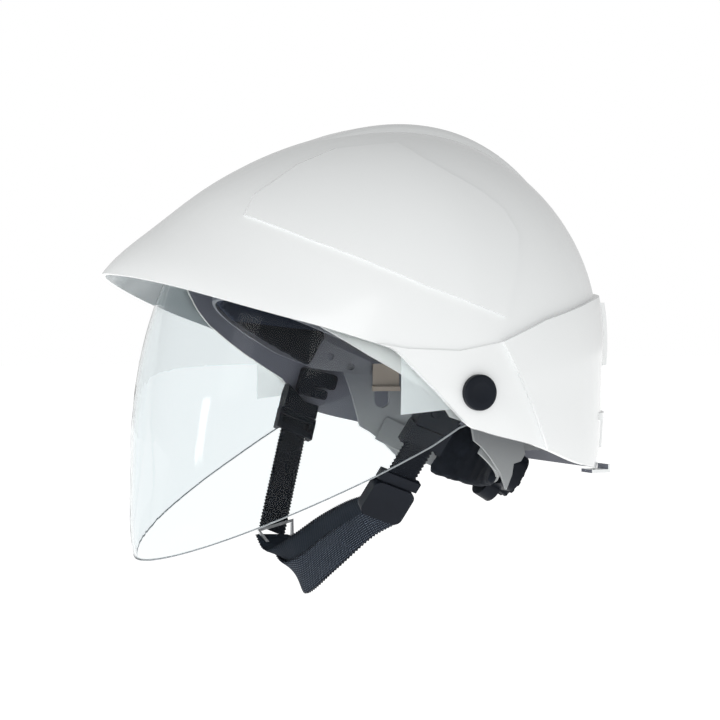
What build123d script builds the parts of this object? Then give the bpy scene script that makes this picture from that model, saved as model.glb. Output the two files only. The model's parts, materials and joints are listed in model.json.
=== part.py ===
from build123d import *
from math import cos, sin, radians
import os

# Safety helmet with a retractable clear face shield, its headgear and a chin strap.
# Millimetres. X runs through the two shield pivots (+X is the wearer's left), front is -Y, +Z is up.
# The origin is midway between the pivots, at the centre of the headband.

# Shell: a side profile given as the distance from the pivot axis, for angles that start at the
# front horizontal and turn over the top. Across the width it narrows to a pole at each pivot.
HALF_WIDTH = 113.0
SHELL_WALL = 2.6
PROFILE = [(0, 196), (10, 195), (21, 190), (32, 175), (43, 165.5), (54, 159.5), (65, 156), (76, 154.5),
           (90, 154), (105, 154), (120, 152), (135, 148), (150, 142), (165, 134), (180, 128),
           (198, 133), (215, 140), (240, 126), (270, 122), (300, 145), (330, 178), (345, 190)]
FRONT_FULLNESS = 1.8
TOP_FULLNESS = 2.2
POLE = 0.998
SECTIONS = 13

SKIRT_STEP = 3.4
PANEL_STEP = 1.4
EAR_STEP = 1.0
CREST_HEIGHT = 4.8
CREST_HALF_WIDTH = 38.0

# Face shield, made in its stowed place under the shell and turned down to its worn place
SHIELD_SWING = 52.0
SHIELD_GAP = 1.1
SHIELD_WALL = 1.6
SHIELD_HALF_WIDTH = 108.3

# Inner guide shell behind the shield
GUIDE_RADIUS = 146.5
GUIDE_HALF_WIDTH = 104.2
GUIDE_WALL = 2.0
GUIDE_BACK_GAP = 6.5

# Pivots
PIN_R = 4.0
WASHER_R = 7.0
RUNNING_GAP = 0.05
PIN_START = 98.0
PIN_END = 117.0
KNOB_R = 10.1
KNOB_START = 113.9
KNOB_END = 118.2
LATCH_START = 95.6
LATCH_END = 101.0
LATCH_TILT = 15.0
EAR_WALL = 0.8

# Headband
HEAD_Y = -16.0
TANGENT_X = 74.4
TANGENT_Y = 24.0
TANGENT_TURN = 22.2
HEAD_HALF_WIDTH = 80.0
HEAD_HALF_LENGTH = 92.0
BAND_WALL = 1.8
BAND_HOLE_R = 2.4
BAND_MID = 10.0
BAND_SLOPE = -0.5

# Chin strap: each run is (top x, y, z), (bottom x, y, z) of the webbing's middle
WEBBING = 1.6
WEBBING_WIDTH = 20.0
LEFT_RUN = ((99, -14.5, -9), (71, -34, -60))
RIGHT_RUN = ((-99, -12.3, -11), (-70, -44, -88))
ANCHOR_REACH = 103.3
SLIDER_DROP = 20.0
SLIDER_LENGTH = 14.0
BUCKLE_DROP = 64.6
RING_DROP = 91.0
RING_TURN = -34.0

# Nape assembly: modelled upright about the middle of the neck, then tilted and moved into place
NAPE_Y = 71.5
NAPE_Z = -50.0
NAPE_TILT = 31.0
NAPE_HALF_WIDTH = 76.0
NAPE_HALF_LENGTH = 87.0
NAPE_PAD = 4.5
NAPE_PAD_REACH = 38.0
RATCHET_SHAFT_R = 4.0


def profile_radius(angle):
    """Side-profile radius of the shell at one listed angle or between two of them."""
    a = angle % 360
    closed = PROFILE + [(360 + PROFILE[0][0], PROFILE[0][1])]
    for (a0, r0), (a1, r1) in zip(closed[:-1], closed[1:]):
        if a0 <= a <= a1:
            return r0 + (r1 - r0) * (a - a0) / (a1 - a0)
    return closed[0][1]


def shell_fullness(angle):
    """Squareness of the shell's cross-section: slim at the peak and fuller over the head."""
    a = angle % 360
    if a <= 21 or a >= 330:
        return FRONT_FULLNESS
    if a < 90:
        return FRONT_FULLNESS + (TOP_FULLNESS - FRONT_FULLNESS) * (a - 21) / 69
    if a <= 270:
        return TOP_FULLNESS
    return TOP_FULLNESS + (FRONT_FULLNESS - TOP_FULLNESS) * (a - 270) / 60


def section(x, half_width, radius, fullness):
    """One closed side-view outline of a dome at the given X."""
    points = []
    for angle, _ in PROFILE:
        n = fullness(angle)
        r = radius(angle) * (1 - abs(x / half_width) ** n) ** (1 / n)
        points.append(Vector(x, -r * cos(radians(angle)), r * sin(radians(angle))))
    steps = [angle / 360 for angle, _ in PROFILE] + [1.0]
    return Wire([Edge.make_spline(points, periodic=True, parameters=steps)])


def dome(half_width, radius, fullness, pole=POLE):
    """A closed solid lofted through side-view outlines from pole to pole."""
    wires = []
    for i in range(SECTIONS):
        swing = -90 + 180 * i / (SECTIONS - 1)
        wires.append(section(pole * half_width * sin(radians(swing)), half_width, radius, fullness))
    return Solid.make_loft(wires)


def shell_dome(inset):
    """The shell's own dome, moved inward by the inset (outward when negative)."""
    return dome(HALF_WIDTH - inset, lambda a: profile_radius(a) - inset, shell_fullness)


def side_region(points, x0=-140, x1=140):
    """Everything between two X planes inside a closed side-view outline of (y, z) points."""
    face = Face(Wire.make_polygon([Vector(x0, y, z) for y, z in points], close=True))
    return Solid.extrude(face, Vector(x1 - x0, 0, 0))


def box(x, y, z):
    """A box from its three (low, high) pairs."""
    centre = [(a + b) / 2 for a, b in (x, y, z)]
    return Pos(*centre) * Box(x[1] - x[0], y[1] - y[0], z[1] - z[0])


def rod(x0, x1, r, y=0.0, z=0.0):
    """A cylinder along X."""
    return Pos((x0 + x1) / 2, y, z) * Rot(0, 90, 0) * Cylinder(r, x1 - x0)


def mirrored(shape):
    """The same piece on the wearer's other side."""
    return mirror(shape, about=Plane.YZ)


def pivot_bore():
    """Running clearance around both pivot pins."""
    return rod(-130, 130, PIN_R + RUNNING_GAP)


RIM_FRONT = [(-204, 76), (-192, 71), (-182, 67.5), (-164, 62), (-139, 53.5), (-107, 43), (-87, 37), (-62, 29)]
RIM_LOBE = [(-53, 26), (-47, 23), (-40, 16), (-23, -1), (-9, -15), (-4, -19), (3, -21.5)]
RIM_REAR = [(3, -21.5), (15, -25), (32, -29), (52, -35), (76, -43), (100, -48), (130, -53), (175, -57)]


def above_rim(x0=-140, x1=140):
    """Everything above the shell's rim line."""
    front = Edge.make_spline([Vector(x0, y, z) for y, z in RIM_FRONT + RIM_LOBE[:1]])
    lobe = Edge.make_spline([Vector(x0, y, z) for y, z in RIM_LOBE])
    rear = Edge.make_spline([Vector(x0, y, z) for y, z in RIM_REAR])
    corners = [(175, -57), (175, 190), (-204, 190), (-204, 76)]
    lines = [Edge.make_line(Vector(x0, *a), Vector(x0, *b)) for a, b in zip(corners[:-1], corners[1:])]
    return Solid.extrude(Face(Wire([front, lobe, rear] + lines)), Vector(x1 - x0, 0, 0))


def crest():
    """The comb that runs over the top of the shell."""
    def radius(angle):
        if 65 <= angle <= 150:
            lift = sin(radians((angle - 65) / 85 * 180)) ** 0.7
            return profile_radius(angle) - 4 + (CREST_HEIGHT + 4) * lift
        return profile_radius(angle) - 14
    comb = dome(CREST_HALF_WIDTH, radius, lambda a: 4.5, 0.97)
    return comb & box((-40, 40), (-120, 130), (60, 200))


def side_panel():
    """A shallow raised field on the upper side of the shell."""
    outline = [(-113, 99), (-104, 111), (-76, 129), (-52, 139), (-17, 143), (-8, 133), (4, 124),
               (20, 114), (32, 104), (38, 90), (35, 78), (20, 42), (-27, 59), (-54, 71), (-88, 86)]
    return shell_dome(-PANEL_STEP) & side_region(outline, 24, 140)


def skirt():
    """The thicker band round the sides and back, below the dome."""
    outline = [(16, 28), (48, 40), (94, 51), (170, 62), (170, -80), (51, -80), (51, -38), (34, -4)]
    return shell_dome(-SKIRT_STEP) & side_region(outline)


def ear_panel():
    """The slightly raised field round one pivot, ahead of the skirt."""
    outline = [(-60, 28), (-41, 24.6), (-11, 23.2), (17, 28), (34, -4), (52, -38), (52, -80), (-60, -80)]
    return shell_dome(-EAR_STEP) & side_region(outline, 60, 140)


def make_shell():
    body = shell_dome(0) + crest()
    for panel in (side_panel(), ear_panel()):
        body = body + panel + mirrored(panel)
    body = body + skirt()
    return (body & above_rim()) - shell_dome(SHELL_WALL) - pivot_bore()


def stowed_to_worn(shape):
    """Turn a piece from under the shell down to where it is worn."""
    return Rot(SHIELD_SWING, 0, 0) * shape


def make_shield():
    gap = SHELL_WALL + SHIELD_GAP
    inner_gap = gap + SHIELD_WALL
    outer = dome(SHIELD_HALF_WIDTH, lambda a: profile_radius(a) - gap, shell_fullness)
    inner = dome(SHIELD_HALF_WIDTH - SHIELD_WALL, lambda a: profile_radius(a) - inner_gap, shell_fullness)
    outline = [(-10, 9), (-80, 46), (-150, 84), (-215, 100), (-215, -135), (-160, -98), (-124, -80),
               (-60, -48.5), (-24, -30), (-8, -20), (2, -16.5), (11, -9), (13, 0), (9, 9), (0, 12.5)]
    return (stowed_to_worn(outer - inner) & side_region(outline)) - pivot_bore()


def make_shield_ear():
    """Thin carrier plate inside the shield, from the pivot to a straight front edge."""
    reach = SHIELD_HALF_WIDTH - SHIELD_WALL - RUNNING_GAP
    inset = SHELL_WALL + SHIELD_GAP + SHIELD_WALL + RUNNING_GAP
    outer = dome(reach, lambda a: profile_radius(a) - inset, shell_fullness)
    inner = dome(reach - EAR_WALL, lambda a: profile_radius(a) - inset - EAR_WALL, shell_fullness)
    outline = [(-42, 24), (-42, -12), (-8, -9), (6, -7), (9, 0), (6, 8), (-4, 10)]
    plate = stowed_to_worn(outer - inner) & side_region(outline, 60, 140)
    return plate - rod(60, 140, 7.6)


GUIDE_OUTLINE = [(-160, 97), (-125, 76), (-104, 57), (-93, 45.5), (-82, 36), (-59, 21), (-25, 1), (-18, -7),
                 (-12, -14), (0, -18), (14, -15), (40, -4), (80, 6), (160, 16), (160, 170), (-160, 170)]


def make_guide():
    def radius(angle):
        return min(GUIDE_RADIUS, profile_radius(angle) - GUIDE_BACK_GAP)
    outer = dome(GUIDE_HALF_WIDTH, radius, lambda a: TOP_FULLNESS)
    inner = dome(GUIDE_HALF_WIDTH - GUIDE_WALL, lambda a: radius(a) - GUIDE_WALL, lambda a: TOP_FULLNESS)
    return ((outer - inner) & side_region(GUIDE_OUTLINE)) - pivot_bore()


def make_pin():
    return rod(PIN_START, PIN_END, PIN_R)


def make_washer():
    ring = rod(GUIDE_HALF_WIDTH + 0.1, SHIELD_HALF_WIDTH - SHIELD_WALL - 0.4, WASHER_R)
    return ring - pivot_bore()


def make_knob():
    dish = Pos(KNOB_END + 30, 0, 0) * Sphere(30.6)
    knob = rod(KNOB_START, KNOB_END, KNOB_R)
    rims = [e for e in knob.edges() if e.center().X > KNOB_END - 0.01]
    knob = fillet(rims, 1.6)
    return knob - dish - rod(KNOB_START - 1, PIN_END, PIN_R)


def make_latch():
    """Two-pronged catch over the inner end of each pivot pin, with its prongs to the rear."""
    depth = (LATCH_START, LATCH_END)
    body = box(depth, (-13, -3), (-12.5, 5.2))
    for y, z in (((-4, 12.5), (-4.8, 5.2)), ((-4, 8), (-12.5, -6))):
        body = body + box(depth, y, z)
    corners = [e for e in body.edges().filter_by(Axis.X) if e.center().Y < -12 or e.center().Y > 7]
    body = fillet(corners, 2.6)
    return Rot(-LATCH_TILT, 0, 0) * body - rod(PIN_START - 0.1, 110, PIN_R)


def rear_shape(low_inset, high_inset, x, z):
    """A slice of the back of the shell between two outward steps, inside an X and a Z range."""
    return (shell_dome(high_inset) - shell_dome(low_inset)) & box((-x, x), (60, 200), z)


def make_rear_clip():
    """Lamp-strap carrier across the back: a wide upper plate, a long rib and a lower plate."""
    clip = rear_shape(-SKIRT_STEP, -SKIRT_STEP - 2.4, 62, (12, 50))
    for proud, x, z in ((1.0, 30, (-20, 14)), (1.8, 76, (-20, -16)), (1.4, 60, (-38, -19))):
        clip = clip + rear_shape(-SKIRT_STEP, -SKIRT_STEP - proud, x, z)
    return clip


def make_rear_hook():
    """Small hook under the back of the skirt that keeps a lamp strap in place."""
    return box((48, 60), (110, 123.2), (-53.5, -51.5)) + box((48, 60), (121.7, 123.2), (-52, -48.5))


def band_centre(y):
    """Height of the middle of the headband at a given Y: it is lower at the back."""
    return BAND_MID + BAND_SLOPE * y


def oval(half_width, half_length, y=HEAD_Y):
    """A tall oval column round the head."""
    return Pos(0, y, 0) * extrude(Ellipse(half_width, half_length), 140, both=True)


def make_headband():
    outline = [(-112, 54), (-40, 18), (-12, 8), (24, 3), (24, 12), (-112, 78)]
    inside = oval(HEAD_HALF_WIDTH - BAND_WALL, HEAD_HALF_LENGTH - BAND_WALL)
    band = (oval(HEAD_HALF_WIDTH, HEAD_HALF_LENGTH) - inside) & side_region(outline)
    band = band - Pos(0, -62, band_centre(-62)) * Box(200, 14, 3)
    for y in (-1, 12):
        band = band - rod(-100, 100, BAND_HOLE_R, y, band_centre(y) + 5)
    return band


def make_temple_plate():
    """Side plate that carries the nape band: round the head at first, then straight back."""
    outline = [(4, 20), (36, 6), (58, -12), (62, -34), (64, -40.5), (60, -44.5), (53.5, -45.5), (52, -52),
               (47, -60.5), (42, -50.5), (33.5, -41), (25.5, -34), (19, -30), (14, -10)]
    outside = oval(HEAD_HALF_WIDTH + 2.2, HEAD_HALF_LENGTH + 2.2)
    inside = oval(HEAD_HALF_WIDTH + 0.2, HEAD_HALF_LENGTH + 0.2)
    front = (outside - inside) & box((10, 140), (0, TANGENT_Y), (-80, 40))
    straight = Pos(TANGENT_X - 1, TANGENT_Y, 0) * Rot(0, 0, TANGENT_TURN) * Pos(0, 23, 0) * Box(2, 50, 160)
    slot = Pos(70, 32, -6) * Rot(0, 90, 0) * extrude(SlotOverall(24, 9), 40, both=True)
    return ((front + straight) & side_region(outline, 10, 140)) - slot


def make_temple_clip():
    """Bent tab inside the slot of the temple plate, that sets the height of the nape band."""
    tab = Pos(0, 10.5, 3) * Box(3, 17, 15) + Pos(-1.5, 10.5, -5.5) * Box(6, 18, 3)
    return Pos(TANGENT_X - 3.6, TANGENT_Y, 0) * Rot(0, 0, TANGENT_TURN) * tab


def nape_frame(shape):
    """Tilt and move a piece of the nape assembly into place."""
    return Pos(0, NAPE_Y, NAPE_Z) * Rot(-NAPE_TILT, 0, 0) * shape


def nape_band(grow, wall, x, z):
    """A band round the back of the neck, grown outward from the pad's outer face, between X and Z limits."""
    centre = -NAPE_HALF_LENGTH
    ring = (oval(NAPE_HALF_WIDTH + grow, NAPE_HALF_LENGTH + grow, centre)
            - oval(NAPE_HALF_WIDTH + grow - wall, NAPE_HALF_LENGTH + grow - wall, centre))
    return ring & box(x, (-70, 10), z)


def make_nape_arm():
    """One side of the band behind the neck, from the temple plate to the ratchet."""
    band = nape_frame(nape_band(2.2, 2.0, (12, 68), (-13, 13)) & box((0, 110), (-45, 10), (-40, 40)))
    return (band & oval(HEAD_HALF_WIDTH, HEAD_HALF_LENGTH)) - make_temple_plate() - make_temple_clip()


def make_ratchet_housing():
    body = fillet(box((-27, 27), (2.2, 12), (-12, 12)).edges().filter_by(Axis.Y), 8)
    body = body + along_y(2.2, 12, 9, -12)
    cavity = box((-19, 19), (4, 10), (-7.5, 7.5))
    return nape_frame(body - cavity - along_y(8, 13, RATCHET_SHAFT_R + RUNNING_GAP))


def along_y(y0, y1, r, z=0.0, x=0.0):
    """A cylinder along Y."""
    return Pos(x, (y0 + y1) / 2, z) * Rot(90, 0, 0) * Cylinder(r, y1 - y0)


def make_ratchet_knob():
    wheel = along_y(12.4, 20.5, 13)
    for i in range(12):
        a = radians(30 * i)
        wheel = wheel - along_y(12, 21, 2.2, 13.6 * sin(a), 13.6 * cos(a))
    pinion = along_y(4.6, 9.4, 6)
    return nape_frame(wheel + pinion + along_y(7, 15, RATCHET_SHAFT_R))


def make_nape_pad():
    return nape_frame(nape_band(0, NAPE_PAD, (-NAPE_PAD_REACH, NAPE_PAD_REACH), (-18, 19)))


def make_brow_pad():
    """Sweat pad inside the headband, across the brow and back to both temples."""
    width = HEAD_HALF_WIDTH - BAND_WALL - 0.2
    length = HEAD_HALF_LENGTH - BAND_WALL - 0.2
    outline = [(-112, 55), (-17, 9), (-4, 30), (-112, 80)]
    return (oval(width, length) - oval(width - 4, length - 4)) & side_region(outline)


def strap_between(a, b, thickness=WEBBING):
    """A length of webbing between its two edge curves."""
    return Solid.thicken(Face.make_surface_from_curves(a, b), thickness)


def smooth(points):
    return Edge.make_spline([Vector(*p) for p in points])


def make_crown_strap_long():
    """Webbing over the head from the brow to the nape."""
    arch = [(-107, 78), (-94, 99), (-58, 119), (-10, 126), (36, 112), (65, 68), (75, 14), (76.5, -29)]
    a = smooth([(-10, y, z) for y, z in arch])
    b = smooth([(10, y, z) for y, z in arch])
    return strap_between(a, b)


def make_crown_strap_cross():
    """Webbing over the head from ear to ear, on top of the long one."""
    half = [(80, 38), (77, 62), (62, 97), (34, 121), (0, 130)]
    arch = half + [(-x, z) for x, z in half[-2::-1]]
    a = smooth([(x, HEAD_Y - 10, z) for x, z in arch])
    b = smooth([(x, HEAD_Y + 10, z) for x, z in arch])
    return strap_between(a, b)


def make_crown_pad():
    pad = Pos(0, HEAD_Y, 118) * Cylinder(30, 5)
    return fillet(pad.edges(), 1.5)


def make_cradle_clip(place):
    if place == "front":
        return box((-14, 14), (-111.5, -104), (66, 86))
    if place == "rear":
        return box((-12, 12), (72, 81.5), (-40, -22)) - make_nape_pad() - make_ratchet_housing()
    clip = box((78.1, 84), (HEAD_Y - 13, HEAD_Y + 13), (24, 42))
    return clip if place == "left" else mirrored(clip)


def make_side_hanger():
    """Block that holds the headgear to the guide shell, ahead of each pivot."""
    outline = [(-46, 27), (-46, 41), (-34, 36), (-34, 21)]
    return side_region(outline, HEAD_HALF_WIDTH - 3, GUIDE_HALF_WIDTH - GUIDE_WALL - 6)


def make_front_hanger():
    return box((-12, 12), (-125.4, -106.5), (69, 73))


def make_rear_hanger():
    return (box((-16, 16), (79.5, 135), (-42, -37)) & shell_dome(SHELL_WALL - 0.2)) - make_ratchet_housing()


def run_frame(run, drop=0.0):
    """A plane on a webbing run: X along the run (downward), Y across it, Z out of its face."""
    top, bottom = Vector(*run[0]), Vector(*run[1])
    along = (bottom - top).normalized()
    outward = Vector(1 if top.X > 0 else -1, 0, 0)
    across = outward.cross(along).normalized()
    return Plane(origin=top + along * drop, x_dir=along, z_dir=along.cross(across))


def make_run(run):
    """One side's webbing, cut at the top along the lower edge of the guide shell."""
    length = (Vector(*run[1]) - Vector(*run[0])).length
    return run_frame(run, length / 2) * Box(length + 16, WEBBING_WIDTH, WEBBING) - side_region(GUIDE_OUTLINE)


def make_slider(run):
    """Ladder-lock slider: two rails, end bars behind the webbing and a middle bar in front of it."""
    frame = run_frame(run, SLIDER_DROP)
    reach = WEBBING_WIDTH / 2 + 0.5
    parts = [Pos(0, side * (reach + 1.4), 0) * Box(SLIDER_LENGTH, 2.8, 5.2) for side in (-1, 1)]
    parts += [Pos(end * (SLIDER_LENGTH / 2 - 2), 0, -1.9) * Box(4, 2 * reach + 1, 1.4) for end in (-1, 1)]
    parts.append(Pos(0, 0, 1.9) * Box(11, 2 * reach + 1, 1.4))
    body = parts[0] + parts[1] + parts[2] + parts[3] + parts[4]
    return frame * body


def make_strap_anchor(run):
    """Bracket under the guide shell's lower edge that holds the top of a webbing run."""
    side = 1 if run[0][0] > 0 else -1
    block = run_frame(run, 2) * Box(22, WEBBING_WIDTH + 4, 9)
    block = block & box(sorted((side * 80, side * ANCHOR_REACH)), (-60, 30), (-60, 30))
    return block - side_region(GUIDE_OUTLINE) - make_run(run)


def make_anchor_stud(run):
    stud = rod(LEFT_RUN[0][0] - 0.5, ANCHOR_REACH + 0.5, 3.6, run[0][1] - 5.5, run[0][2] - 2)
    stud = stud if run[0][0] > 0 else mirrored(stud)
    return stud - make_run(run) - make_strap_anchor(run) - side_region(GUIDE_OUTLINE)


def make_chin_strap():
    """The wide length that passes under the chin from one side run to the other."""
    rear = [(-67.5, -34, -97.5), (-43, -36, -118), (-12, -47, -126),
            (20, -43, -108), (45, -32, -87), (65, -25, -76)]
    front = [(-67.5, -58, -96), (-53, -57, -104), (-25, -52, -92),
             (0, -45, -78), (28, -41, -67), (55, -40, -60)]
    return strap_between(smooth(front), smooth(rear))


def make_strap_ring():
    """Tapered wire loop that joins the wearer's right run to the chin strap."""
    def frustum(top, bottom, x0, x1, thick):
        corners = [Vector(x0, -top), Vector(x0, top), Vector(x1, bottom), Vector(x1, -bottom)]
        return extrude(Face(Wire.make_polygon(corners, close=True)), thick / 2, both=True)
    ring = frustum(14, 9, 0, 14, 1.8) - frustum(12, 7.4, 1.8, 12.2, 4)
    return run_frame(RIGHT_RUN, RING_DROP) * Pos(0, 0, -2.2) * Rot(0, 0, RING_TURN) * ring


def make_buckle_socket():
    frame = run_frame(LEFT_RUN, BUCKLE_DROP)
    body = Box(22, 27, 8)
    body = fillet(body.edges().filter_by(Axis.Z), 4.5)
    return frame * (body - Pos(-6, 0, 0) * Box(16, 21, 4.4))


def make_buckle_plug():
    frame = run_frame(LEFT_RUN, BUCKLE_DROP)
    body = Pos(-14.5, 0, 0) * Box(6, 26, 5)
    for y in (-7.6, 0, 7.6):
        body = body + Pos(-5, y, 0) * Box(14, 4, 4)
    return frame * body


def export(name, shape):
    shape.label = name
    export_step(shape, "parts/" + name + ".step")


def main():
    os.makedirs("parts", exist_ok=True)
    export("shell", make_shell())
    export("face_shield", make_shield())
    export("guide_shell", make_guide())
    for name, shape in (("pivot_pin", make_pin()), ("pivot_washer", make_washer()),
                        ("pivot_knob", make_knob()), ("pivot_latch", make_latch()),
                        ("temple_plate", make_temple_plate()),
                        ("side_hanger", make_side_hanger()), ("nape_arm", make_nape_arm()),
                        ("shield_ear", make_shield_ear()), ("rear_hook", make_rear_hook()),
                        ("temple_clip", make_temple_clip())):
        export(name + "_left", shape)
        export(name + "_right", mirrored(shape))
    export("rear_clip", make_rear_clip())
    export("headband", make_headband())
    export("brow_pad", make_brow_pad())
    export("nape_pad", make_nape_pad())
    export("ratchet_housing", make_ratchet_housing())
    export("ratchet_knob", make_ratchet_knob())
    export("crown_strap_long", make_crown_strap_long())
    export("crown_strap_cross", make_crown_strap_cross())
    export("crown_pad", make_crown_pad())
    for place in ("front", "rear", "left", "right"):
        export("cradle_clip_" + place, make_cradle_clip(place))
    export("front_hanger", make_front_hanger())
    export("rear_hanger", make_rear_hanger())
    for side, run in (("left", LEFT_RUN), ("right", RIGHT_RUN)):
        export("strap_run_" + side, make_run(run))
        export("slider_" + side, make_slider(run))
        export("strap_anchor_" + side, make_strap_anchor(run))
        export("anchor_stud_" + side, make_anchor_stud(run))
    export("chin_strap", make_chin_strap())
    export("strap_ring", make_strap_ring())
    export("buckle_socket", make_buckle_socket())
    export("buckle_plug", make_buckle_plug())


main()
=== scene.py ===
import json
import math

import bmesh
import bpy
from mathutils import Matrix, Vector


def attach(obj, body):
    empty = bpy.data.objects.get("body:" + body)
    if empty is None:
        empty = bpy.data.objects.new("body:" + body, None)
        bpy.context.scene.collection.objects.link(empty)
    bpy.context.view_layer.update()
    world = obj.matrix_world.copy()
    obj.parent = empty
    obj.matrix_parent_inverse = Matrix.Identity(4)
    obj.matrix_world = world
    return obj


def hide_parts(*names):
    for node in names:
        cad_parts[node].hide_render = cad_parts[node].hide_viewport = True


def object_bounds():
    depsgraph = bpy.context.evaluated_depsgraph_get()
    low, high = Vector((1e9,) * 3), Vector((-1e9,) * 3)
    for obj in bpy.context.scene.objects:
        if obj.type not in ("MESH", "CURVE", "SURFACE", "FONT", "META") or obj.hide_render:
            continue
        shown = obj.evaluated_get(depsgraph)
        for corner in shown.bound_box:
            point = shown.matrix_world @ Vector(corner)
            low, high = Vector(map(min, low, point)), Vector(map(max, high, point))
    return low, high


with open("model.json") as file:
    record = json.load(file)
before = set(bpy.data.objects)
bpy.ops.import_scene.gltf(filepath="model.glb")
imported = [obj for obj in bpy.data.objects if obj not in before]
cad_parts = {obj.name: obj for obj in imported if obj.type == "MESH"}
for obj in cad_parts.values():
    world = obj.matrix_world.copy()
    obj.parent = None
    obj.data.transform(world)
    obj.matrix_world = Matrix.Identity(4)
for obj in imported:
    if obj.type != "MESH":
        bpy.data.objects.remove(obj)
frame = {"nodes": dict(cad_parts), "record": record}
CAD_BOX = [list(corner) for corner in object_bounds()]
NODES = frame["nodes"]


# ---------------------------------------------------------------- camera
AZIMUTH = math.radians(64.0)
ELEVATION = math.radians(1.63)
TARGET = Vector((0.0, -0.01754, 0.01533))
DISTANCE = 1.15
PICTURE_WIDTH = 0.4358  # what the picture spans at the target, in metres


def add_camera():
    back = Vector((math.sin(AZIMUTH) * math.cos(ELEVATION), -math.cos(AZIMUTH) * math.cos(ELEVATION),
                   math.sin(ELEVATION)))
    data = bpy.data.cameras.new("camera")
    data.sensor_width = 36.0
    data.lens = 36.0 * DISTANCE / PICTURE_WIDTH
    data.clip_start = 0.05
    data.clip_end = 20.0
    camera = bpy.data.objects.new("camera", data)
    bpy.context.scene.collection.objects.link(camera)
    camera.location = TARGET + back * DISTANCE
    camera.rotation_mode = "QUATERNION"
    camera.rotation_quaternion = (-back).to_track_quat("-Z", "Y")
    bpy.context.scene.camera = camera


# ---------------------------------------------------------------- material helpers
INSIDE_LIMIT = -0.45  # faces below this look at the middle of the head
CUT_EDGE_LIMIT = 0.35  # faces of the clear sheet below this are its cut edge
BANDS_PER_SCALE = 3.2  # bands to a metre that a wave texture makes at scale 1


class Shader:
    """A node material with a Principled shader, built up in steps."""

    def __init__(self, name, colour, roughness, **sockets):
        self.material = bpy.data.materials.new(name)
        self.material.use_nodes = True
        self.tree = self.material.node_tree
        self.shader = self.tree.nodes["Principled BSDF"]
        self.shader.inputs["Base Color"].default_value = (*colour, 1.0)
        self.shader.inputs["Roughness"].default_value = roughness
        for key, value in sockets.items():
            self.shader.inputs[key.replace("_", " ")].default_value = value
        self.last_bump = None

    def node(self, kind, **settings):
        made = self.tree.nodes.new(kind)
        for key, value in settings.items():
            setattr(made, key, value)
        return made

    def link(self, a, b):
        self.tree.links.new(a, b)

    def position(self, scale=(1, 1, 1), turn=(0, 0, 0)):
        """Object coordinates in metres, scaled and turned."""
        coordinates = self.node("ShaderNodeTexCoord")
        mapping = self.node("ShaderNodeMapping")
        mapping.inputs["Scale"].default_value = scale
        mapping.inputs["Rotation"].default_value = turn
        self.link(coordinates.outputs["Object"], mapping.inputs["Vector"])
        return mapping.outputs["Vector"]

    def noise(self, scale, detail=3.0, rough=0.55, vector=None):
        made = self.node("ShaderNodeTexNoise")
        made.inputs["Scale"].default_value = scale
        made.inputs["Detail"].default_value = detail
        made.inputs["Roughness"].default_value = rough
        self.link(vector or self.position(), made.inputs["Vector"])
        return made.outputs["Fac"]

    def spread(self, value, low, high):
        """Maps the middle of a noise's range, 0.3 to 0.7, on to low..high."""
        made = self.node("ShaderNodeMapRange")
        made.inputs["From Min"].default_value = 0.3
        made.inputs["From Max"].default_value = 0.7
        made.inputs["To Min"].default_value = low
        made.inputs["To Max"].default_value = high
        self.link(value, made.inputs["Value"])
        return made.outputs["Result"]

    def vary_colour(self, value, dark, light):
        mix = self.node("ShaderNodeMix", data_type="RGBA")
        mix.inputs["A"].default_value = (*dark, 1.0)
        mix.inputs["B"].default_value = (*light, 1.0)
        self.link(value, mix.inputs["Factor"])
        self.link(mix.outputs["Result"], self.shader.inputs["Base Color"])

    def facing(self):
        """1 where a face looks straight away from the middle of the head, -1 where it looks at it."""
        coordinates = self.node("ShaderNodeTexCoord")
        direction = self.node("ShaderNodeVectorMath", operation="NORMALIZE")
        self.link(coordinates.outputs["Object"], direction.inputs[0])
        dot = self.node("ShaderNodeVectorMath", operation="DOT_PRODUCT")
        self.link(direction.outputs["Vector"], dot.inputs[0])
        self.link(coordinates.outputs["Normal"], dot.inputs[1])
        return dot.outputs["Value"]

    def outward(self):
        """1 on the outside and on cut edges, 0 on the inside."""
        return self.above(self.facing(), INSIDE_LIMIT)

    def above(self, value, limit):
        made = self.node("ShaderNodeMath", operation="GREATER_THAN")
        made.inputs[1].default_value = limit
        self.link(value, made.inputs[0])
        return made.outputs["Value"]

    def axis(self, name, vector=None):
        made = self.node("ShaderNodeSeparateXYZ")
        self.link(vector or self.position(), made.inputs["Vector"])
        return made.outputs[name]

    def ramp(self, value, start, end, low=0.0, high=1.0):
        made = self.node("ShaderNodeMapRange", interpolation_type="SMOOTHSTEP")
        for key, number in (("From Min", start), ("From Max", end), ("To Min", low), ("To Max", high)):
            made.inputs[key].default_value = number
        self.link(value, made.inputs["Value"])
        return made.outputs["Result"]

    def blend(self, factor, a, b):
        """A colour between a and b; each is a colour or another node's output."""
        mix = self.node("ShaderNodeMix", data_type="RGBA")
        self.link(factor, mix.inputs["Factor"])
        for socket, value in (("A", a), ("B", b)):
            if isinstance(value, tuple):
                mix.inputs[socket].default_value = (*value, 1.0)
            else:
                self.link(value, mix.inputs[socket])
        return mix.outputs["Result"]

    def colour(self, output):
        self.link(output, self.shader.inputs["Base Color"])

    def vary_roughness(self, value, low, high):
        self.link(self.spread(value, low, high), self.shader.inputs["Roughness"])

    def bump(self, height, distance, strength=1.0):
        """Adds one more layer of relief, distance in metres."""
        made = self.node("ShaderNodeBump")
        made.inputs["Distance"].default_value = distance
        made.inputs["Strength"].default_value = strength
        self.link(height, made.inputs["Height"])
        if self.last_bump:
            self.link(self.last_bump, made.inputs["Normal"])
        self.last_bump = made.outputs["Normal"]
        self.link(self.last_bump, self.shader.inputs["Normal"])


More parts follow.
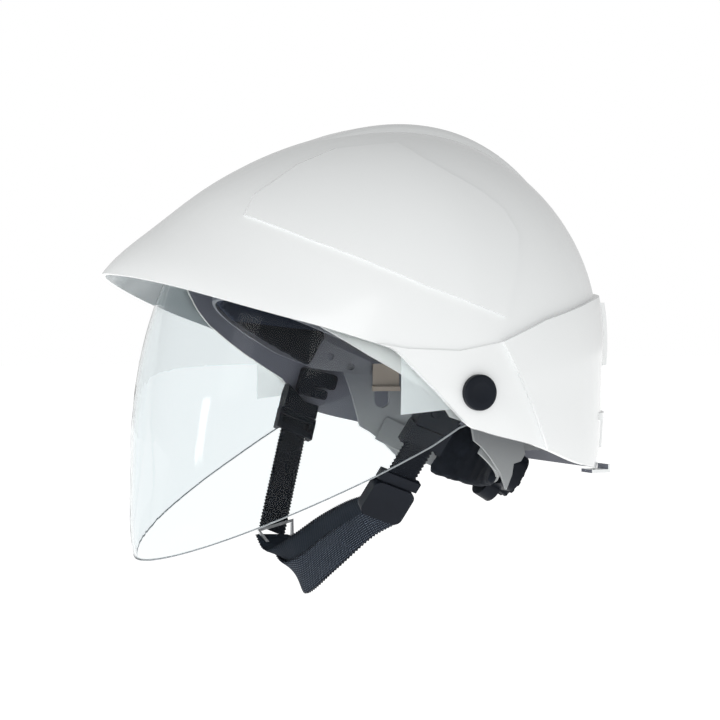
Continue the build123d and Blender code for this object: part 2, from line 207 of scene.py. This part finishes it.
def shell_material():
    """Glossy white outside; painted shade darkens the satin inside from the brim to the back."""
    paint = Shader("shell_white_abs", (0.86, 0.875, 0.88), 0.2, Coat_Weight=0.35, Coat_Roughness=0.08)
    outside = paint.blend(paint.noise(9.0, 2.0), (0.835, 0.855, 0.855), (0.87, 0.885, 0.885))
    # painted shade: the inside colour turns dark towards the back of the shell
    painted_shade_ramp = paint.ramp(paint.axis("Y"), -0.17, 0.06)
    inside = paint.blend(painted_shade_ramp, (0.72, 0.76, 0.77), (0.2, 0.21, 0.25))
    paint.colour(paint.blend(paint.outward(), inside, outside))
    paint.vary_roughness(paint.noise(60.0), 0.17, 0.25)
    paint.bump(paint.noise(700.0, 2.0), 0.00004, 0.35)
    return paint.material


def clear_material():
    """Clear sheet with a faint green-grey tint; where its cut edge shows it is painted darker, standing in
    for the dark line that refraction at the edge makes.
    """
    clear = Shader("clear_polycarbonate", (0.88, 0.91, 0.92), 0.02, Transmission_Weight=1.0, IOR=1.16)
    size = clear.node("ShaderNodeMath", operation="ABSOLUTE")
    clear.link(clear.facing(), size.inputs[0])
    sheet = clear.above(size.outputs["Value"], CUT_EDGE_LIMIT)
    # painted shade: the cut edge gets the darker tint
    clear.colour(clear.blend(sheet, (0.4, 0.44, 0.45), (0.88, 0.912, 0.92)))
    clear.vary_roughness(clear.noise(30.0), 0.012, 0.03)
    return clear.material


def edge_material():
    edge = Shader("shield_edge", (0.16, 0.18, 0.19), 0.35)
    edge.vary_colour(edge.noise(80.0), (0.24, 0.26, 0.28), (0.5, 0.53, 0.55))
    return edge.material


def guide_material():
    """White outside; the inside is painted dark as shade from the headgear."""
    plastic = Shader("guide_white_plastic", (0.8, 0.8, 0.785), 0.4)
    outside = plastic.blend(plastic.noise(14.0, 2.0), (0.72, 0.715, 0.69), (0.8, 0.795, 0.775))
    # painted shade: the dark colour of the inner side
    inside = plastic.blend(plastic.noise(22.0, 2.0), (0.15, 0.155, 0.19), (0.19, 0.195, 0.235))
    plastic.colour(plastic.blend(plastic.outward(), inside, outside))
    plastic.vary_roughness(plastic.noise(80.0), 0.34, 0.46)
    plastic.bump(plastic.noise(900.0, 2.0), 0.00006, 0.5)
    return plastic.material


def ear_material():
    # The faint white emission is painted light: it makes the frosted plastic glow as if lit through.
    plastic = Shader("frosted_carrier", (0.9, 0.92, 0.91), 0.45, Transmission_Weight=0.6, IOR=1.15,
                     Emission_Color=(1, 1, 1, 1), Emission_Strength=0.14)
    plastic.vary_colour(plastic.noise(25.0), (0.82, 0.85, 0.84), (0.88, 0.9, 0.9))
    plastic.bump(plastic.noise(900.0, 2.0), 0.00005, 0.5)
    return plastic.material


def tab_material():
    plastic = Shader("tan_tab_plastic", (0.4, 0.33, 0.27), 0.45)
    plastic.vary_colour(plastic.noise(60.0), (0.36, 0.3, 0.25), (0.45, 0.38, 0.32))
    plastic.bump(plastic.noise(1000.0, 2.0), 0.00006, 0.5)
    return plastic.material


def grey_material():
    plastic = Shader("headgear_grey_plastic", (0.2, 0.205, 0.225), 0.5, Specular_IOR_Level=0.35)
    # painted shade: darker towards the top, where the headgear sits deep under the shell
    painted_shade_ramp = plastic.ramp(plastic.axis("Z"), -0.045, 0.02)
    plastic.colour(plastic.blend(painted_shade_ramp, (0.32, 0.335, 0.34), (0.15, 0.155, 0.18)))
    plastic.vary_roughness(plastic.noise(90.0), 0.42, 0.56)
    plastic.bump(plastic.noise(1100.0, 2.0), 0.00008, 0.6)
    return plastic.material


def black_material():
    plastic = Shader("black_moulded_plastic", (0.008, 0.01, 0.014), 0.5, Specular_IOR_Level=0.13)
    plastic.vary_colour(plastic.noise(40.0), (0.006, 0.008, 0.012), (0.011, 0.014, 0.021))
    plastic.vary_roughness(plastic.noise(120.0), 0.38, 0.54)
    plastic.bump(plastic.noise(1400.0, 2.0), 0.00003, 0.4)
    return plastic.material


def steel_material():
    steel = Shader("turned_steel", (0.75, 0.76, 0.77), 0.3, Metallic=1.0)
    steel.vary_roughness(steel.noise(300.0, vector=steel.position((1, 12, 12))), 0.24, 0.4)
    steel.bump(steel.noise(600.0, vector=steel.position((1, 20, 20))), 0.00003, 0.5)
    return steel.material


def threads(cloth, scale, direction, vector):
    wave = cloth.node("ShaderNodeTexWave", wave_type="BANDS", bands_direction=direction)
    wave.inputs["Scale"].default_value = scale
    wave.inputs["Distortion"].default_value = 0.6
    wave.inputs["Detail Scale"].default_value = 2.0
    cloth.link(vector, wave.inputs["Vector"])
    return wave.outputs["Fac"]


def webbing_material(name, dark, light, pitch):
    """Woven threads along and across the strap; pitch is their number to a metre."""
    cloth = Shader(name, dark, 0.8, Specular_IOR_Level=0.08, Sheen_Weight=0.03, Sheen_Roughness=0.5)
    flat = cloth.node("ShaderNodeTexCoord").outputs["UV"]
    weave = cloth.node("ShaderNodeMath", operation="MULTIPLY")
    wave_scale = pitch / BANDS_PER_SCALE
    cloth.link(threads(cloth, wave_scale, "X", flat), weave.inputs[0])
    cloth.link(threads(cloth, wave_scale, "Y", flat), weave.inputs[1])
    cloth.colour(cloth.blend(cloth.ramp(weave.outputs["Value"], 0.35, 0.95), dark, light))
    cloth.bump(weave.outputs["Value"], 0.0003, 0.9)
    cloth.bump(cloth.noise(1800.0, 3.0), 0.00008, 0.4)
    return cloth.material


def foam_material(name, dark, light):
    """Brushed cloth over foam."""
    cloth = Shader(name, dark, 0.9, Specular_IOR_Level=0.07, Sheen_Weight=0.04, Sheen_Roughness=0.5)
    cloth.vary_colour(cloth.noise(300.0, 4.0), dark, light)
    cloth.bump(cloth.noise(1500.0, 4.0), 0.0002, 0.6)
    return cloth.material


def brow_material():
    """The sweat band: black towelling with a lighter navy binding along the top."""
    cloth = Shader("brow_cloth", (0.012, 0.014, 0.018), 0.9, Specular_IOR_Level=0.07, Sheen_Weight=0.04)
    place = cloth.node("ShaderNodeVectorMath", operation="DOT_PRODUCT")
    cloth.link(cloth.position(), place.inputs[0])
    place.inputs[1].default_value = (0.0, 0.1, 1.0)
    binding = cloth.ramp(place.outputs["Value"], 0.0305, 0.0315)
    speckle = cloth.noise(400.0, 4.0)
    towel = cloth.blend(speckle, (0.009, 0.01, 0.013), (0.018, 0.02, 0.025))
    navy = cloth.blend(speckle, (0.024, 0.03, 0.048), (0.038, 0.046, 0.07))
    cloth.colour(cloth.blend(binding, towel, navy))
    cloth.bump(cloth.noise(1500.0, 4.0), 0.0002, 0.6)
    return cloth.material


def give(material, names):
    for name in names:
        mesh = NODES[name].data
        mesh.materials.clear()
        mesh.materials.append(material)


def dress_nodes():
    """Gives every CAD node its material from the record's slot, and a few of them one of their own."""
    by_slot = {"shell_white": shell_material(), "clear": clear_material(), "guide_white": guide_material(),
               "headgear_grey": grey_material(), "black_plastic": black_material(), "steel": steel_material(),
               "webbing": webbing_material("plain_webbing", (0.007, 0.009, 0.013), (0.012, 0.015, 0.021),
                                           900.0),
               "foam_black": foam_material("pad_cloth", (0.01, 0.012, 0.017), (0.02, 0.024, 0.032))}
    for part in frame["record"]["subparts"]:
        give(by_slot[part["material_slot"]], [part["node"]])
    give(ear_material(), ["shield_ear_left", "shield_ear_right"])
    give(tab_material(), ["temple_clip_left", "temple_clip_right"])
    give(by_slot["black_plastic"], ["anchor_stud_left", "anchor_stud_right"])
    return by_slot


# ---------------------------------------------------------------- shield edge
EDGE_RADIUS = 0.00026
SHARP = math.radians(50)


def sharp_chains(mesh):
    """The corners of a mesh's sharp edges, in order round each loop."""
    work = bmesh.new()
    work.from_mesh(mesh)
    bmesh.ops.remove_doubles(work, verts=work.verts, dist=0.00001)
    links = {}
    for edge in work.edges:
        if len(edge.link_faces) == 2 and edge.calc_face_angle(0.0) > SHARP:
            for a, b in (edge.verts, reversed(edge.verts)):
                links.setdefault(a, []).append(b)
    chains = []
    while links:
        start = next(iter(links))
        chain = [start]
        while links.get(chain[-1]):
            here = chain[-1]
            ahead = links[here].pop()
            links[ahead].remove(here)
            chain.append(ahead)
        chains.append([v.co.copy() for v in chain])
        links = {v: others for v, others in links.items() if others}
    work.free()
    return chains


def make_shield_edge():
    """Fine lines where the cut edge of the clear sheet catches the light."""
    curve = bpy.data.curves.new("shield_edge", "CURVE")
    curve.dimensions = "3D"
    curve.bevel_depth = EDGE_RADIUS
    curve.bevel_resolution = 2
    for chain in sharp_chains(NODES["face_shield"].data):
        if len(chain) < 3:
            continue
        spline = curve.splines.new("POLY")
        spline.points.add(len(chain) - 1)
        for point, place in zip(spline.points, chain):
            point.co = (*place, 1.0)
    curve.materials.append(edge_material())
    line = bpy.data.objects.new("shield_edge", curve)
    bpy.context.scene.collection.objects.link(line)
    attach(line, "shield")


# ---------------------------------------------------------------- padded pieces
PAD_VOXEL = 0.0022
PAD_FRAMES = 20


def copy_of(node, name, material):
    piece = bpy.data.objects.new(name, NODES[node].data.copy())
    bpy.context.scene.collection.objects.link(piece)
    piece.data.materials.clear()
    piece.data.materials.append(material)
    return piece


def freeze(piece):
    """Applies every modifier on a piece."""
    graph = bpy.context.evaluated_depsgraph_get()
    mesh = bpy.data.meshes.new_from_object(piece.evaluated_get(graph))
    piece.modifiers.clear()
    piece.data = mesh


def swell(piece, cap):
    """Inflates a closed cloth with no gravity; no point moves further than the cap."""
    start = [v.co.copy() for v in piece.data.vertices]
    cloth = piece.modifiers.new("cloth", "CLOTH")
    cloth.settings.use_pressure = True
    cloth.settings.uniform_pressure_force = 4.0
    cloth.settings.effector_weights.gravity = 0.0
    cloth.point_cache.frame_start = 1
    cloth.point_cache.frame_end = PAD_FRAMES
    for step in range(1, PAD_FRAMES + 1):
        bpy.context.scene.frame_set(step)
    freeze(piece)
    bpy.context.scene.frame_set(1)
    for vertex, rest in zip(piece.data.vertices, start):
        move = vertex.co - rest
        if move.length > cap:
            vertex.co = rest + move.normalized() * cap


def make_pad(name, node, material, cap):
    pad = copy_of(node, name, material)
    remesh = pad.modifiers.new("remesh", "REMESH")
    remesh.mode = "VOXEL"
    remesh.voxel_size = PAD_VOXEL
    freeze(pad)
    swell(pad, cap)
    pad.modifiers.new("round", "SUBSURF").levels = 1
    freeze(pad)
    for face in pad.data.polygons:
        face.use_smooth = True
    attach(pad, "helmet")
    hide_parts(node)
    return pad


def make_pads():
    cloth = SLOTS["foam_black"]
    make_pad("brow_cushion", "brow_pad", brow_material(), 0.0012)
    make_pad("nape_cushion", "nape_pad", cloth, 0.0015)
    make_pad("crown_cushion", "crown_pad", cloth, 0.0015)


# ---------------------------------------------------------------- webbing
RIB_PITCH = 0.0022
RIB_STEPS = 4
RIB_HEIGHT = 0.0001
SCALLOP = 0.00045
ACROSS = 11
LEFT_RUN = ((99, -14.5, -9), (71, -34, -60))
RIGHT_RUN = ((-99, -12.3, -11), (-70, -44, -88))
RUN_WIDTH = 0.0186
RUN_TRIM = 0.006  # how far below its upper end a run starts
RUN_TAIL = 0.007  # how far it goes on past its lower end
STRAP_THICKNESS = 0.0016
CHIN_LAYER_THICKNESS = 0.0011
CHIN_LAYER_SHARE = 0.62  # part of the chin strap's width under the second layer
CHIN_LAYER_LIFT = -0.0012
CHIN_REAR = [(-67.5, -34, -97.5), (-43, -36, -118), (-12, -47, -126),
             (20, -43, -108), (45, -32, -87), (65, -25, -76)]
CHIN_FRONT = [(-67.5, -58, -96), (-53, -57, -104), (-25, -52, -92),
              (0, -45, -78), (28, -41, -67), (55, -40, -60)]
LONG_ARCH = [(-107, 78), (-94, 99), (-58, 119), (-10, 126), (36, 112), (65, 68), (75, 14), (76.5, -29)]
CROSS_HALF = [(80, 38), (77, 62), (62, 97), (34, 121), (0, 130)]
CROSS_Y = -16.0
STRAP_HALF = 10.0


def metres(points):
    return [Vector(p) / 1000.0 for p in points]


def through(points, count):
    """Evenly spaced points on a smooth curve through the given ones."""
    ends = [points[0] * 2 - points[1]] + points + [points[-1] * 2 - points[-2]]
    fine = []
    for p0, p1, p2, p3 in zip(ends, ends[1:], ends[2:], ends[3:]):
        for k in range(40):
            t = k / 40
            fine.append(0.5 * (2 * p1 + (p2 - p0) * t + (2 * p0 - 5 * p1 + 4 * p2 - p3) * t * t
                               + (3 * p1 - p0 - 3 * p2 + p3) * t ** 3))
    fine.append(points[-1])
    travelled = [0.0]
    for a, b in zip(fine, fine[1:]):
        travelled.append(travelled[-1] + (b - a).length)
    result = []
    at = 0
    for i in range(count):
        goal = travelled[-1] * i / (count - 1)
        while at < len(fine) - 2 and travelled[at + 1] < goal:
            at += 1
        share = (goal - travelled[at]) / (travelled[at + 1] - travelled[at])
        result.append(fine[at].lerp(fine[at + 1], share))
    return result


def make_strap(name, edge_a, edge_b, thickness, material, node=None, lift=0.0):
    """Webbing between two edge curves, with cross ribs, scalloped edges and closed ends."""
    length = sum((b - a).length for a, b in zip(edge_a, edge_a[1:]))
    count = int(length / RIB_PITCH) * RIB_STEPS + 1
    left = through(edge_a, count)
    right = through(edge_b, count)
    middle = [(a + b) / 2 for a, b in zip(left, right)]
    verts = []
    flat = []
    for i in range(count):
        ahead = (middle[min(i + 1, count - 1)] - middle[max(i - 1, 0)]).normalized()
        across = (right[i] - left[i]).normalized()
        up = ahead.cross(across).normalized()
        wave = math.cos(2 * math.pi * i / RIB_STEPS)
        half = (right[i] - left[i]).length / 2 + SCALLOP * wave
        for k in range(2 * ACROSS - 2):
            top = k < ACROSS
            share = -1 + 2 * (k if top else 2 * ACROSS - 2 - k) / (ACROSS - 1)
            rise = (thickness / 2 + RIB_HEIGHT * wave) * (1 - abs(share) ** 6) ** (1 / 3)
            verts.append(middle[i] + across * half * share + up * (lift + (rise if top else -rise)))
            flat.append((length * i / (count - 1), half * share))
    ring = 2 * ACROSS - 2
    faces = [tuple(reversed(range(ring))), tuple(range((count - 1) * ring, count * ring))]
    for i in range(count - 1):
        for k in range(ring):
            n = (k + 1) % ring
            faces.append((i * ring + k, i * ring + n, (i + 1) * ring + n, (i + 1) * ring + k))
    mesh = bpy.data.meshes.new(name)
    mesh.from_pydata(verts, [], faces)
    layer = mesh.uv_layers.new(name="weave")
    for loop in mesh.loops:
        layer.data[loop.index].uv = flat[loop.vertex_index]
    mesh.materials.append(material)
    for face in mesh.polygons:
        face.use_smooth = True
    strap = bpy.data.objects.new(name, mesh)
    bpy.context.scene.collection.objects.link(strap)
    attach(strap, "helmet")
    if node:
        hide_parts(node)
    return strap


def run_edges(run):
    """The two straight edges of one side's webbing."""
    top, bottom = metres(run)
    along = (bottom - top).normalized()
    outward = Vector((1 if top.x > 0 else -1, 0, 0))
    across = outward.cross(along).normalized()
    ends = (top + along * RUN_TRIM, bottom + along * RUN_TAIL)
    return [[p + across * side * RUN_WIDTH / 2 for p in ends] for side in (-1, 1)]


def make_webbing():
    plain = SLOTS["webbing"]
    grid = webbing_material("grid_webbing", (0.012, 0.016, 0.026), (0.15, 0.18, 0.21), 800.0)
    band = webbing_material("smooth_band", (0.012, 0.017, 0.025), (0.015, 0.021, 0.03), 1500.0)
    make_strap("run_webbing_left", *run_edges(LEFT_RUN), STRAP_THICKNESS, plain, "strap_run_left")
    make_strap("run_webbing_right", *run_edges(RIGHT_RUN), STRAP_THICKNESS, plain, "strap_run_right")
    rear = metres(CHIN_REAR)
    front = metres(CHIN_FRONT)
    make_strap("chin_band", front, rear, STRAP_THICKNESS, band, "chin_strap")
    inner = [r.lerp(f, CHIN_LAYER_SHARE) for r, f in zip(rear, front)]
    make_strap("chin_webbing", inner, rear, CHIN_LAYER_THICKNESS, grid, lift=CHIN_LAYER_LIFT)
    ends = [[(x, y, z) for y, z in LONG_ARCH] for x in (-STRAP_HALF, STRAP_HALF)]
    make_strap("crown_webbing_long", metres(ends[0]), metres(ends[1]), STRAP_THICKNESS, plain,
               "crown_strap_long")
    arch = CROSS_HALF + [(-x, z) for x, z in CROSS_HALF[-2::-1]]
    ends = [[(x, CROSS_Y + side * STRAP_HALF, z) for x, z in arch] for side in (-1, 1)]
    make_strap("crown_webbing_cross", metres(ends[0]), metres(ends[1]), STRAP_THICKNESS, plain,
               "crown_strap_cross")


# ---------------------------------------------------------------- studio
ROOM_SIDE = 0.68
ROOM_TOP = 0.36
KEY_WATTS = 2.0
STRIP_WATTS = 2.6
SIDE_WATTS = 3.7
FLOOR_DROP = 0.25
FLOOR_GLOW = 0.68


def area_light(name, place, aim, size, watts, colour=(1, 1, 1)):
    data = bpy.data.lights.new(name, "AREA")
    data.shape = "RECTANGLE"
    data.size, data.size_y = size
    data.energy = watts
    data.color = colour
    light = bpy.data.objects.new(name, data)
    bpy.context.scene.collection.objects.link(light)
    light.location = place
    light.rotation_mode = "QUATERNION"
    light.rotation_quaternion = (Vector(aim) - Vector(place)).to_track_quat("-Z", "Y")
    return light


def add_studio():
    """A pale room, brighter round the horizon than overhead, in front of a pure white backdrop."""
    world = bpy.data.worlds.new("studio")
    bpy.context.scene.world = world
    world.use_nodes = True
    tree = world.node_tree
    room = tree.nodes["Background"]
    room.inputs["Color"].default_value = (1.0, 1.0, 1.0, 1.0)
    where = tree.nodes.new("ShaderNodeTexCoord")
    split = tree.nodes.new("ShaderNodeSeparateXYZ")
    tree.links.new(where.outputs["Generated"], split.inputs["Vector"])
    height = tree.nodes.new("ShaderNodeMapRange")
    height.inputs["From Min"].default_value = 0.0
    height.inputs["From Max"].default_value = 1.0
    height.inputs["To Min"].default_value = ROOM_SIDE
    height.inputs["To Max"].default_value = ROOM_TOP
    tree.links.new(split.outputs["Z"], height.inputs["Value"])
    tree.links.new(height.outputs["Result"], room.inputs["Strength"])
    backdrop = tree.nodes.new("ShaderNodeBackground")
    backdrop.inputs["Color"].default_value = (1.0, 1.0, 1.0, 1.0)
    rays = tree.nodes.new("ShaderNodeLightPath")
    seen = tree.nodes.new("ShaderNodeMath")
    seen.operation = "MAXIMUM"
    tree.links.new(rays.outputs["Is Camera Ray"], seen.inputs[0])
    tree.links.new(rays.outputs["Is Transmission Ray"], seen.inputs[1])
    mix = tree.nodes.new("ShaderNodeMixShader")
    tree.links.new(seen.outputs["Value"], mix.inputs["Fac"])
    tree.links.new(room.outputs["Background"], mix.inputs[1])
    tree.links.new(backdrop.outputs["Background"], mix.inputs[2])
    tree.links.new(mix.outputs["Shader"], tree.nodes["World Output"].inputs["Surface"])
    area_light("key", (0.55, -1.25, 0.5), (0, -0.05, 0.05), (0.35, 0.9), KEY_WATTS)
    area_light("strip", (0.26, -1.41, -0.04), (0.05, -0.14, -0.03), (0.13, 0.3), STRIP_WATTS)
    area_light("side", (1.5, -0.5, 0.45), (0, 0.02, 0.0), (0.8, 0.8), SIDE_WATTS)
    bpy.context.scene.view_settings.view_transform = "Standard"


def add_floor():
    mesh = bpy.data.meshes.new("floor")
    low = CAD_BOX[0][2] - FLOOR_DROP
    corners = [(-12, -12, low), (12, -12, low), (12, 12, low), (-12, 12, low)]
    mesh.from_pydata(corners, [], [(0, 1, 2, 3)])
    floor = bpy.data.objects.new("floor", mesh)
    bpy.context.scene.collection.objects.link(floor)
    paper = Shader("paper", (0.9, 0.9, 0.9), 0.9, Emission_Color=(1, 1, 1, 1), Emission_Strength=FLOOR_GLOW)
    paper.vary_colour(paper.noise(3.0), (0.89, 0.89, 0.89), (0.91, 0.91, 0.91))
    mesh.materials.append(paper.material)


add_camera()
add_studio()
add_floor()
SLOTS = dress_nodes()
make_shield_edge()
make_pads()
make_webbing()
